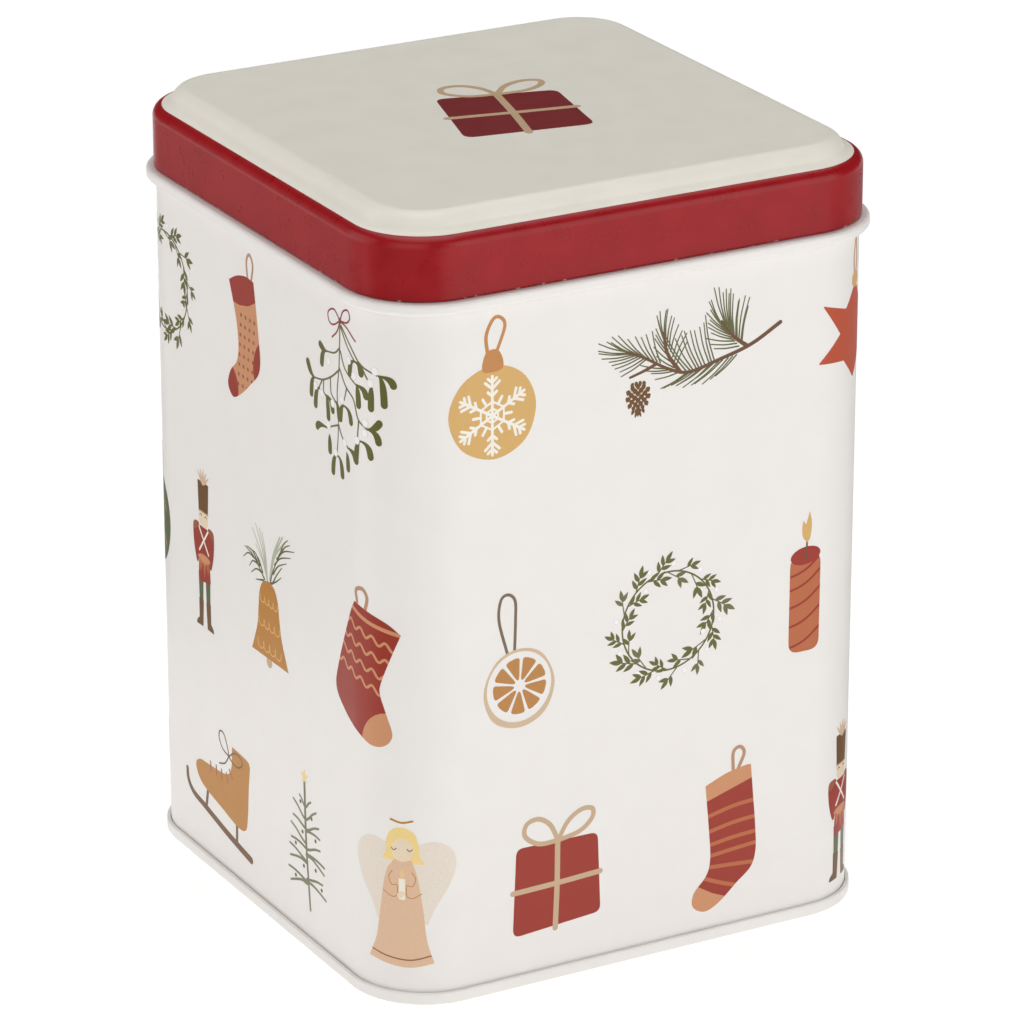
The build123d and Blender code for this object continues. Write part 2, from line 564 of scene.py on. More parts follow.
def rounded(points, radius, steps=5):
    """A closed straight-sided outline with rounded corners."""
    corners = [Vector(point) for point in points]
    outline = []
    for before, corner, after in zip([corners[-1], *corners], corners, [*corners[1:], corners[0]]):
        way_in = (corner - before).normalized()
        way_out = (after - corner).normalized()
        turn = math.atan2(way_in.cross(way_out), way_in.dot(way_out))
        reach = radius * math.tan(abs(turn) / 2)
        start, end = corner - way_in * reach, corner + way_out * reach
        for step in range(steps + 1):
            t = step / steps
            outline.append((1 - t) ** 2 * start + 2 * t * (1 - t) * corner + t**2 * end)
    return outline


def leaf(base, angle, length, width, steps=7):
    """A leaf that is pointed at both ends and widest a little before its middle."""
    way = along((0, 0), angle, 1)
    side = Vector((-way.y, way.x))
    shares = [step / steps for step in range(steps + 1)]
    half_widths = [0.5 * width * math.sin(math.pi * share**0.8) for share in shares]
    spine = [Vector(base) + way * length * share for share in shares]
    left = [spot + side * half for spot, half in zip(spine, half_widths)]
    right = [spot - side * half for spot, half in zip(spine, half_widths)]
    return left + right[-2:0:-1]


def droop(drawing, ink, joint, reach, drop, steps=8):
    """A mistletoe leaf: it leaves its joint sideways, bends over and broadens to a round end."""
    start, end = Vector(joint), Vector(joint) + Vector((reach, -drop))
    elbow = start + Vector((reach * (0.9 if drop > 0 else 0.6), 0))
    stalk, swell, fullest = 0.2, 0.55, 0.8  # half widths, and where along the leaf it is widest
    left, right = [], []
    for step in range(steps + 1):
        t = step / steps
        spot = (1 - t) ** 2 * start + 2 * t * (1 - t) * elbow + t**2 * end
        way = ((1 - t) * (elbow - start) + t * (end - elbow)).normalized()
        half = stalk + swell * math.sin(math.pi / 2 * min(1, t / fullest)) ** 2
        side = Vector((-way.y, way.x)) * half
        left.append(spot + side)
        right.append(spot - side)
    drawing.fill(ink, left + right[::-1])
    drawing.fill(ink, ellipse(end, half, steps=14))


MOST_TURN = math.radians(140)  # how far one stretch of a line may turn before it is cut


class Drawing:
    """A picture made of flat shapes, painted one over another. A shape without an ink clears what
    is under it, and a shape with a clip shows only inside the shape that the clip is."""

    def __init__(self):
        self.shapes = []

    def fill(self, ink, outline, clip=None):
        """Adds a closed outline and returns its number, which can be another shape's clip."""
        self.shapes.append((ink, outline, clip))
        return len(self.shapes) - 1

    def line(self, ink, points, width, end_width=None, clip=None):
        """Adds a line with round ends. It is cut where it turns back, so that no part of it
        crosses itself."""
        spots = [Vector(point) for point in points]
        end_width = width if end_width is None else end_width
        ways = [(after - before).normalized() for before, after in zip(spots, spots[1:])]
        leans = [ways[0], *((a + b).normalized() for a, b in zip(ways, ways[1:])), ways[-1]]
        last = len(spots) - 1
        edges = []
        for index, (spot, way) in enumerate(zip(spots, leans)):
            half = 0.5 * (width + (end_width - width) * index / last)
            side = Vector((-way.y, way.x)) * half
            edges.append((spot + side, spot - side))
        start, turned = 0, 0.0
        for index in range(1, last + 1):
            if index < last:
                turned += abs(ways[index - 1].angle_signed(ways[index]))
            if index == last or turned > MOST_TURN:
                run = edges[start : index + 1]
                self.fill(ink, [left for left, _ in run] + [right for _, right in run[::-1]], clip)
                start, turned = index, 0.0
        self.fill(ink, ellipse(spots[0], width / 2, steps=12), clip)
        self.fill(ink, ellipse(spots[-1], end_width / 2, steps=12), clip)

    def dots(self, ink, centres, radius, clip=None):
        for centre in centres:
            self.fill(ink, ellipse(centre, radius, steps=14), clip)


# ---- pictures ----------------------------------------------------------------------------------
def bow(drawing, ink, middle, size, width):
    """Two loops of ribbon, tied at the middle. size is how far they reach to each side."""
    x, y = middle
    right = [(0, 0), (0.28, 0.46), (0.66, 0.7), (0.98, 0.66), (0.97, 0.4), (0.62, 0.12), (0, 0)]
    left = [(0, 0), (-0.22, 0.46), (-0.56, 0.7), (-0.9, 0.62), (-0.94, 0.3), (-0.55, 0.02), (0, 0)]
    for loop in (left, right):
        drawing.line(ink, curve([(x + size * u, y + size * v) for u, v in loop]), width)


def snowflake(drawing, ink, centre, size):
    """Six feathered arms on a small web."""
    width = 0.075 * size
    for reach in (0.18, 0.36):
        web = ring_of(centre, reach * size, 6)
        drawing.line(ink, [*web, web[0]], 0.8 * width)
    for angle in range(30, 390, 60):
        drawing.line(ink, [centre, along(centre, angle, size)], width)
        for start, length in ((0.5, 0.16), (0.68, 0.26), (0.84, 0.16)):
            knot = along(centre, angle, start * size)
            for side in (-48, 48):
                drawing.line(ink, [knot, along(knot, angle + side, length * size)], width)
        spur = (along(centre, angle + 30, 0.32 * size), along(centre, angle + 30, 0.52 * size))
        drawing.line(ink, spur, width)


def bauble(drawing):
    drawing.line("caramel", curve([
        (-1.1, 12), (-1.4, 15.6), (0, 18.6), (1.5, 18.9), (2.6, 17), (0.8, 12),
    ]), 0.75, 0.65)
    drawing.fill("gold", blob([
        (0, 9.5), (6.4, 7), (9.3, 0.6), (7, -6.4), (0.4, -9.3), (-6.6, -6.4), (-9.4, 0.4),
        (-6.6, 6.8),
    ]))
    drawing.fill("caramel", blob([
        (-2.1, 8.6), (-2.1, 10.6), (-1.2, 12.4), (0.9, 12.6), (2.1, 10.8), (2.1, 8.7), (0, 8.2),
    ]))
    snowflake(drawing, "white", (-0.1, -0.5), 7.9)


def oval_ornament(drawing):
    drawing.line("bark", curve([(-0.5, 9), (-1.4, 13.5), (0, 16), (1.3, 13.5), (0.5, 9)]), 0.5)
    body = drawing.fill("forest", ellipse((0, 0), 6.5, 9.5, steps=40))
    drawing.fill("caramel", rounded([(-1.5, 8.8), (1.5, 8.8), (1.2, 11), (-1.2, 11)], 0.5))
    for height in (-4.2, 3.4):
        wave = [(x, height + (0.8 if x % 4 else -0.8)) for x in range(-8, 5, 2)]
        drawing.line("peach", curve(wave), 0.5, clip=body)
    drawing.dots("peach", [(x, -0.4) for x in (-4.5, -1.5, 1.5)], 0.55, clip=body)


def needles(drawing, ink, start, end, angles, length, count):
    """A fan of pine needles whose feet lie between two points of a twig."""
    for index in range(count):
        share = (index + random.uniform(-0.2, 0.2)) / (count - 1)
        foot = Vector(start).lerp(Vector(end), share)
        angle = angles[0] + (angles[1] - angles[0]) * share + random.uniform(-3, 3)
        reach = length * random.uniform(0.85, 1.1)
        bend = along(foot, angle + 4, reach / 2)
        drawing.line(ink, curve([foot, bend, along(foot, angle, reach)], 3), 0.32, 0.22)


def pine_cone(drawing, centre):
    """An egg-shaped cone, pointed at the bottom, with its rows of pointed scales apart."""
    rows = 10
    for row in range(rows):
        down = row / (rows - 1)
        half = 2.7 * math.sin(math.pi * (0.1 + 0.8 * down) ** 0.75)
        count = 3 if row % 2 else 4
        for index in range(count):
            share = (2 * index - count + 1) / 4
            top = Vector(centre) + Vector((half * share, 3.5 - 6.2 * down - 0.3 * abs(share)))
            drawing.fill("umber", leaf(top, -90 + 34 * share, 1.2, 0.3 + 0.33 * half))


def pine_branch(drawing):
    fans = [
        ((-6.4, 0.4), (-13.6, 3.8), (108, 158), 6.8, 10),
        ((-9.4, 1.6), (-13.8, 3.6), (206, 166), 6.2, 8),
        ((-3.4, -1.0), (-5.6, 5.2), (142, 100), 5.6, 8),
        ((-2.9, -0.6), (-5.6, 5.8), (62, 88), 5.6, 8),
        ((-2.2, -2.2), (-5.4, -1.0), (186, 164), 5.4, 4),
        ((-0.6, -2.4), (5.8, -1.4), (126, 100), 9.0, 10),
        ((-0.6, -2.8), (10.6, -1.0), (201, 218), 6.8, 12),
        ((11.0, 0.8), (7.2, 5.8), (176, 116), 6.0, 11),
        ((11.8, 1.0), (8.0, 5.8), (78, 106), 8.4, 12),
    ]
    for fan in fans:
        needles(drawing, "pine", *fan)
    twig = [(20.4, 4), (14, 0.7), (7, -1.2), (0, -2.6), (-4.5, -1.2), (-10, 2), (-13.8, 3.8)]
    drawing.line("bark", curve(twig), 0.85, 0.5)
    drawing.line("bark", curve([(13, 0.4), (9.8, 3), (7.2, 6.4)]), 0.9, 0.5)
    drawing.line("bark", curve([(-2, -2.2), (-4.8, 2), (-5.7, 6.3)]), 0.9, 0.5)
    drawing.line("bark", curve([(-7.4, 0.2), (-10, -0.7), (-13, -1.5)]), 0.7, 0.5)
    pine_cone(drawing, (-11.2, -5.9))


def star(drawing):
    drawing.line("caramel", curve([(0, 10), (-0.7, 15), (0.2, 19.3), (0.9, 15), (0.2, 10)]), 0.45)
    tips = [(0.2, 10.6), (-10.4, 7.9), (-11.2, -4), (-0.3, -9.2), (10.6, -4.6), (10.2, 8.4)]
    hollows = [(-3.8, 5.9), (-5.6, 1.2), (-4.4, -4.6), (4.2, -4.8), (5.5, 1), (3.9, 6)]
    drawing.fill("rust", rounded(in_turn(tips, hollows), 0.2))
    drawing.dots("gold", [(0.1, 10.9)], 1.7)


def wavy_stocking(drawing):
    drawing.line("dusk", curve([(-0.9, 14), (-1.2, 16.4), (0.8, 17.1), (2, 15.6), (1.5, 13)]), 0.8)
    foot = [
        (9.5, 9.4), (7.3, 4.2), (5.2, -1.2), (5.0, -3.6), (6.4, -7.6), (7.6, -11.6), (6.0, -14),
        (3, -14.6), (-0.4, -13.3), (-6, -10.4), (-9.6, -6.6), (-8.4, -1), (-3.7, 10.5),
        (-1.8, 13.9),
    ]
    cuff = [(-1.8, 13.9), (2, 12.9), (6.6, 11.4), (9.5, 9.4)]
    body = drawing.fill("red", joined(foot, cuff))
    drawing.line("peach", curve([(-3.4, 12.9), (2, 10.8), (9.8, 9.2)]), 0.8, clip=body)
    for height in (8.4, 5.0, 1.6, -1.8):
        wave = [(step / 2, height - 0.14 * step + 0.6 * math.cos(step)) for step in range(-22, 23)]
        drawing.line("peach", curve(wave, 3), 0.55, clip=body)
    drawing.fill("peach", ellipse((6.2, -13.4), 6.6, 5.6, 55), clip=body)


def striped_stocking(drawing):
    drawing.line("dusk", curve([(0.9, 16), (0.9, 19.6), (2.4, 20.5), (3.4, 19), (2.1, 15.9)]), 0.75)
    foot = [
        (5.0, 16.2), (5.6, 9.6), (6.2, 3), (6.4, -2.6), (5.3, -6.2), (2, -9), (-2, -12.4),
        (-5.3, -13.7), (-8, -12.1), (-7.8, -9.2), (-4.9, -5.8), (-4.1, -2), (-4.5, 4), (-5.4, 13.6),
    ]
    cuff = [(-5.4, 13.6), (-0.6, 15.4), (3.6, 16.2), (5.0, 16.2)]
    body = drawing.fill("red", joined(foot, cuff))
    stripes = [
        [(-5, 6.8), (1, 8), (6.6, 8.4)], [(-5, 3.4), (1, 4.4), (7, 4.8)],
        [(-5, 0.5), (1, 1.2), (7, 1.5)], [(-5, -1.9), (1, -1.4), (7, -1)],
        [(-5, -4.2), (1, -4.7), (7, -5.3)], [(-6, -6.2), (-2, -8), (2.8, -9.8)],
    ]
    for stripe in stripes:
        drawing.line("coral", curve(stripe), 0.85, clip=body)
    drawing.fill("peach", [(-7, 19), (7, 20), (7, 13.8), (0, 11.7), (-7, 9.6)], clip=body)
    drawing.fill("peach", [
        (-12, -4.5), (-6.8, -8), (-3.6, -10), (1.8, -12.4), (-2, -16), (-12, -16),
    ], clip=body)


def dotted_stocking(drawing):
    drawing.line("dusk", curve([(2, 13.2), (1.5, 17), (2.8, 18.8), (4.2, 17), (3.3, 13)]), 0.65)
    foot = [
        (4.4, 13.6), (5.2, 9), (6.2, 3), (6.8, -1.8), (5.8, -5), (2.4, -8), (-2, -11.4),
        (-5.4, -12.9), (-7.5, -10.8), (-6.2, -7.6), (-3.5, -5), (-2.6, -1.4), (-3.4, 4),
        (-6.2, 11.2),
    ]
    cuff = [(-6.2, 11.2), (-2.8, 12.9), (1, 13.8), (4.4, 13.6)]
    body = drawing.fill("peach", joined(foot, cuff))
    for row in range(-4, 4):
        for column in range(-1, 3):
            dot = (1.9 * column + 0.25 * row, 2.1 * row - 1)
            drawing.fill("clay", ellipse(dot, 0.42, 0.42, steps=14), clip=body)
    drawing.fill("red", [(-9, 14), (5, 18), (7, 10.6), (2, 8), (-2, 7.1), (-7, 7.2)], clip=body)
    drawing.fill("red", ellipse((6.8, -2.4), 2.7, 5, -22), clip=body)
    drawing.fill("red", ellipse((-6.9, -10.6), 3.9, 4.4, 20), clip=body)


def orange_slice(drawing):
    drawing.line("thread", curve([
        (-2.5, 7.4), (-4.3, 14.4), (-3.9, 18.6), (-2.3, 19.5), (-0.8, 18), (-0.7, 14), (-0.9, 7.8),
    ]), 0.62)
    drawing.fill("rind", blob([
        (0.2, 7.9), (5.2, 6), (7.9, -0.1), (5.7, -6.2), (0.2, -8.5), (-5.6, -6.3), (-7.7, 0),
        (-4.9, 6),
    ]))
    drawing.fill(None, ellipse((0.1, 0), 7.1, 7.3, steps=36))
    for angle in range(26, 386, 40):
        tip = along((0.2, 0.2), angle, 0.35)
        rim = [along(tip, angle + offset, 5.5) for offset in (-17, -6, 6, 17)]
        drawing.fill("orange", rounded([tip, *rim], 0.55))


def sprig(drawing, ink, base, angle, size, leaves):
    """A thin stem with a leaf at its tip and the others in turn at its sides."""
    drawing.line(ink, [base, along(base, angle, 0.85 * size)], 0.26, 0.2)
    drawing.fill(ink, leaf(along(base, angle, 0.8 * size), angle, 0.62 * size, 0.23 * size))
    for index in range(leaves - 1):
        knot = along(base, angle, (0.74 - 0.19 * index) * size)
        side = 42 if index % 2 else -42
        drawing.fill(ink, leaf(knot, angle + side, 0.6 * size, 0.215 * size))


def wreath(drawing):
    """A hoop of twigs whose sprigs all lean the same way round, in turn outside and inside."""
    radius, count = 10.3, 24
    hoop = ring_of((0, 0), radius, 60, 105)
    for start, end in ((0, 17), (17, 36), (36, 59)):
        drawing.line("olive", hoop[start : end + 1], 0.34)
    for index in range(count):
        angle = 360 * index / count + random.uniform(-3, 3)
        side = 1 if index % 2 else -1
        lean = side * random.uniform(24, 46)
        ink = "moss" if index % 5 == 1 else "olive"
        size = random.uniform(3.4, 4.6)
        knot = along((0, 0), angle, radius)
        sprig(drawing, ink, knot, angle - 90 + lean, size, random.choice((3, 5, 5)))
        berry = along((0, 0), angle + 7, radius + 1.5 * side)
        drawing.line("frost", ring_of(berry, 0.55, 11), 0.1)
        drawing.dots("pearl", [berry], 0.52)


def candle(drawing):
    body = drawing.fill("coral", rounded([(-3.5, 9.4), (-3.6, -11), (3.4, -11), (3.5, 9.6)], 2.3))
    for height in (-9.8, -5.4, -1.4, 2.3, 5.2):
        twist = curve([
            (-3.9, height), (-1.6, height + 0.5), (0.8, height + 1.6), (3.9, height + 4.1),
        ])
        drawing.line("brick", twist, 0.5, clip=body)
    drawing.fill("brick", ellipse((0, 9.3), 3.44, 1.85, 6))
    drawing.line("umber", [(0.1, 8.4), (0.3, 12.6)], 0.4)
    flame = [(0.3, 12), (-0.8, 13.6), (-0.7, 16.6), (0, 16), (0.8, 18.5)]
    drawing.fill("gold", joined(flame, [(0.8, 18.5), (1.3, 16), (1.0, 13), (0.3, 12)]))


def gift(drawing, wrap="red"):
    drawing.fill(wrap, rounded([(-9.1, 9.3), (-9.9, -9.6), (9.8, -8.2), (9.1, 9)], 1.6))
    drawing.line("ribbon", curve([(-9.9, -0.1), (0, 0.1), (9.7, 0.5)], 3), 1.15)
    drawing.line("ribbon", curve([(0.1, 9), (0, 0), (-0.4, -9.5)], 3), 1.2)
    bow(drawing, "ribbon", (0.2, 9.2), 7.8, 1.0)


def angel(drawing):
    wing = [
        (-1, 11.8), (-3.6, 13.9), (-6.6, 14.5), (-9.6, 13), (-10.8, 9.8), (-9.6, 5.6), (-6.6, 0.6),
        (-4.6, -3), (-2, 3),
    ]
    for side in (1, -1):
        drawing.fill("pearl_grey", blob(mirrored(wing, side)))
    drawing.fill("hair", blob([
        (0, 17.4), (2.4, 16.4), (3.4, 13.6), (3.6, 11.4), (4.5, 9.9), (2.6, 9.9), (0, 10.2),
        (-2.4, 10.3), (-3.9, 10.6), (-3.2, 12.4), (-3.2, 14.4), (-2.2, 16.6),
    ]))
    hem = curve([(-7.4, -11.2), (-3, -12), (1.6, -12.3), (6.3, -11.3)])
    right_side = curve([(6.3, -11.3), (4.9, -6.4), (4.2, 0), (3.1, 7), (2, 10.5)])
    left_side = curve([(-1.6, 10.5), (-3.4, 7.4), (-4.6, 0), (-5.6, -6.6), (-7.4, -11.2)])
    drawing.fill("blush", hem + right_side[1:] + left_side[:-1])
    drawing.fill("skin", ellipse((0.1, 12.6), 2.2, 2.45))
    drawing.line("ochre", curve([(-2.2, 18.9), (0, 18.4), (2.2, 18.9)]), 0.4)
    for x in (-1.6, 1.6):
        drawing.line("umber", curve([(x - 0.5, 12.9), (x, 12.5), (x + 0.5, 12.9)], 3), 0.2)
    sleeves = [
        [(1.0, 5.2), (2.2, 5.2), (2.7, 6.8), (2.0, 8)], [(0.9, 5), (1, 3), (2.2, 2.6), (3.9, 3.6)],
    ]
    for side in (-1, 1):
        for sleeve in sleeves:
            drawing.line("caramel", curve(mirrored(sleeve, side)), 0.2)
    drawing.fill("cream", rounded([(-0.6, 2.1), (0.65, 2.1), (0.65, 6.6), (-0.6, 6.6)], 0.2))
    drawing.fill("flame", leaf((0.1, 6.6), 90, 2.1, 1.0))
    drawing.fill("skin", ellipse((-0.2, 3.2), 0.9, 0.6, 35))
    drawing.line("clay", curve([(-6.6, -9.6), (-3, -10.4), (1.6, -10.7), (5.6, -9.7)]), 0.3)


def toy_soldier(drawing):
    for side in (-1, 1):
        leg = [(0.5, -3.4), (0.8, -10.4), (2.4, -10.4), (2.6, -3.4)]
        drawing.fill("forest", rounded(mirrored(leg, side), 0.2))
        boot = [
            (0.6, -9.4), (0.9, -14), (1, -15.2), (4, -15.3), (3.6, -14.4), (2.6, -13.6),
            (2.6, -9.2),
        ]
        drawing.fill("umber", rounded(mirrored(boot, side), 0.3))
        arm = [(2, 6.6), (3.2, 7.1), (4.6, 6.2), (4.4, 2), (3.2, -1.6), (2.4, -0.8), (2, 3)]
        drawing.fill("red", blob(mirrored(arm, side)))
        pad = [(2.5, 6.9), (4.2, 6.8), (4.7, 5.4), (4.2, 5), (2.9, 5.7)]
        drawing.fill("clay", blob(mirrored(pad, side)))
    drawing.fill("red", rounded([(-1.8, 6.6), (-2.6, -5.6), (2.8, -4.9), (1.9, 6.6)], 0.4))
    drawing.fill("coral", [
        (-2.4, -0.4), (-1.6, -3.6), (-0.6, -0.8), (0.1, -4.6), (0.9, -0.8), (1.8, -3.4),
        (2.4, -0.2),
    ])
    drawing.fill("brick", [(-1.3, 6.6), (0.1, 4.6), (1.4, 6.6)])
    drawing.line("cream", [(-2, 6.2), (2.1, 1.2)], 0.5)
    drawing.line("cream", [(2, 6.2), (-2, 1.2)], 0.5)
    drawing.fill("skin", rounded([
        (-2, 10.2), (-1.9, 7.3), (-0.8, 6.6), (0.9, 6.6), (2, 7.3), (2.1, 10.2),
    ], 0.7))
    for x in (-1.1, 1.1):
        drawing.line("bark", curve([(x - 0.45, 8.9), (x, 9.2), (x + 0.45, 8.9)], 3), 0.22)
    drawing.fill("umber", rounded([(-2.3, 16.3), (-2, 9.9), (2.1, 9.9), (2.5, 16.3)], 0.3))
    drawing.line("ribbon", [(-2.1, 9.8), (2.2, 9.8)], 0.3)
    for angle in (42, 64, 86, 108, 130):
        drawing.fill("latte", leaf((0.1, 15.6), angle, 3.6, 0.7))
    drawing.fill("peach", ellipse((0, -0.2), 2.7, 0.85, 2))
    drawing.line("caramel", curve([(-2.7, -0.3), (0, -1.3), (2.7, -0.2)]), 0.3)


def strands(drawing, ink, lines, width):
    """Blades of foliage, each through three points and thinner toward its tip."""
    for line in lines:
        drawing.line(ink, curve(line, 4), width, 0.4 * width)


def bell(drawing):
    tips = [(-5.3, 19.4), (-3.7, 19), (-6.7, 18), (-2.5, 18.5), (-5.3, 15)]
    thin_left = [[(-0.5, 9), (0.45 * x, 0.5 * (y + 9.8)), (x, y)] for x, y in tips]
    strands(drawing, "mist", thin_left, 0.45)
    for tip in ((5.2, 20), (6.4, 20.4), (7.2, 19.4)):
        drawing.line("mist", curve([(0.7, 9.5), (0.3 * tip[0] + 0.7, 15.2), tip]), 0.7, 0.4)
    strands(drawing, "pine", [
        [(2.1, 11.2), (4.3, 13.6), (7.9, 15.4)], [(2.8, 13.4), (5.3, 15.6), (9.7, 17.2)],
        [(3.8, 15), (6.9, 17.6), (11.3, 19)], [(4.7, 16), (7.3, 18.6), (9.5, 19.8)],
        [(5.3, 16.6), (6.7, 19), (8.7, 20.6)], [(0.8, 8.8), (1.8, 11.4), (5.3, 16.6)],
        [(1, 8.8), (3.3, 10), (5.5, 11.6)], [(1.7, 9), (3.7, 11.6), (5.9, 13.8)],
    ], 0.46)
    strands(drawing, "pine", [
        [(-1.7, 8.8), (-6.2, 12), (-10.2, 13)], [(-6.2, 11.8), (-8.7, 12), (-10.9, 10.5)],
        [(-4.2, 11), (-6.7, 11), (-8.3, 9.4)], [(-2.7, 9.8), (-5.2, 9.8), (-7.5, 8.3)],
        [(-2.2, 8.4), (-3.7, 8), (-5.5, 7.5)], [(-4.7, 11.4), (-6.7, 13), (-9.2, 13.2)],
        [(-3.7, 11), (-5.2, 12.8), (-6.7, 13.2)], [(-2.5, 10), (-3.7, 11.8), (-4.5, 12.5)],
    ], 0.46)
    drawing.dots("ribbon", [(-0.2, -8.4)], 1.2)
    right_side = curve([(0, 8.9), (2.4, 8.1), (3.9, 5.6), (4.5, 1.8), (5.4, -2), (8.1, -7.7)])
    left_side = curve([(-7.7, -7.8), (-5.2, -2), (-4.6, 1.8), (-4, 5.6), (-2.4, 8.1), (0, 8.9)])
    body = drawing.fill("ochre", right_side + left_side[:-1])
    for height, half in ((4.6, 3.7), (-0.4, 4.4), (-5.2, 5)):
        for index in range(4):
            middle = half * (index - 1.5) / 2
            loop = [along((middle, height), angle, 0.27 * half) for angle in range(160, 381, 20)]
            drawing.line("honey", loop, 0.34, clip=body)


def ice_skate(drawing):
    for foot, top in (((-7.4, -7.2), (-6.5, -3)), ((6.4, -10), (6.6, -5))):
        drawing.line("umber", [foot, top], 0.95)
    runner = [(-16, -2), (-15.6, -4.4), (-13.2, -6.4), (-8, -7.5), (2, -9.6), (12.8, -11.4)]
    drawing.line("umber", curve(runner), 1.1, 1.6)
    shoe = [
        (5, 10.6), (4.4, 5.6), (1.8, 3.4), (-5, 2.7), (-10.2, 2.2), (-11.8, 0.2), (-9, -2.8),
        (0, -4.9), (7, -6.3), (10.6, -5.6), (11.6, -2), (12.2, 4), (12.9, 9),
    ]
    drawing.fill("ochre", joined(shoe, [(12.9, 9), (12, 10), (8.6, 10.4), (5, 10.6)]))
    eyelets = [(-5, 2.9, 100), (-2.4, 3, 100), (0, 3, 100), (2.4, 3.2, 120), (4, 4.6, 140)]
    for x, y, angle in eyelets:
        drawing.line("clay", [along((x, y), angle, 0.7), along((x, y), angle + 170, 1.5)], 0.42)
    bow_left = [
        (3.4, 7.9), (0.6, 8.7), (-0.9, 10.6), (-0.4, 12.2), (1.4, 12), (2.9, 9.6), (3.4, 7.9),
    ]
    bow_right = [(3.4, 7.9), (6, 9.6), (8.8, 9.5), (9.4, 8.2), (7.4, 7), (5, 7.2), (3.4, 7.9)]
    for loop in (bow_left, bow_right):
        drawing.line("bark", curve(loop), 0.35)
    drawing.line("bark", curve([(3.4, 7.9), (1.6, 5.8), (-1, 4.8)]), 0.35)


def sparse_tree(drawing):
    drawing.line("moss", curve([(-0.7, 14.2), (-0.2, 1), (1.2, -12.6)]), 0.8, 0.62)
    left = [
        (9, 2.4, 1.9), (6.4, 5.2, 2.7), (4.4, 5.4, 1.2), (1.2, 6.4, 2.4), (0.2, 6.4, 0.2),
        (-2.6, 7.2, 1.4), (-2.9, 7, -0.9), (-7, 7.8, 0.6), (-7.4, 7, -1.8),
    ]
    right = [
        (9, 2.4, 2), (6.4, 4.6, 3.2), (4.2, 5.6, 2.4), (4, 6, 0.4), (0, 6, 2), (-1, 7.8, 0),
        (-1.2, 7.6, -1.4), (-6.4, 6.8, 1.4), (-6.9, 8.2, -1),
    ]
    for side, branches in ((-1, left), (1, right)):
        for foot, reach, rise in branches:
            trunk = 0.02 * (10 - foot) - 0.5
            points = [
                (0, foot), (0.3 * reach, foot + 0.15 * rise + 0.3),
                (0.65 * reach, foot + 0.6 * rise + 0.3), (reach, foot + rise),
            ]
            branch = curve([(trunk + side * x, y) for x, y in points], 4)
            drawing.line("sage", branch, 0.62, 0.46)
    dots = [
        (-2.5, 9.6), (2.2, 7.6), (-1.8, 3.3), (3.8, 3.4), (-4.8, -0.3), (-1.4, -4), (3.7, -3),
        (-5, -7.4), (6.2, -6.3),
    ]
    drawing.dots("bark", dots, 0.42)
    tips = ring_of((-0.7, 15.6), 1.8, 5)
    hollows = ring_of((-0.7, 15.6), 0.75, 5, 126)
    drawing.fill("hair", rounded(in_turn(tips, hollows), 0.15))


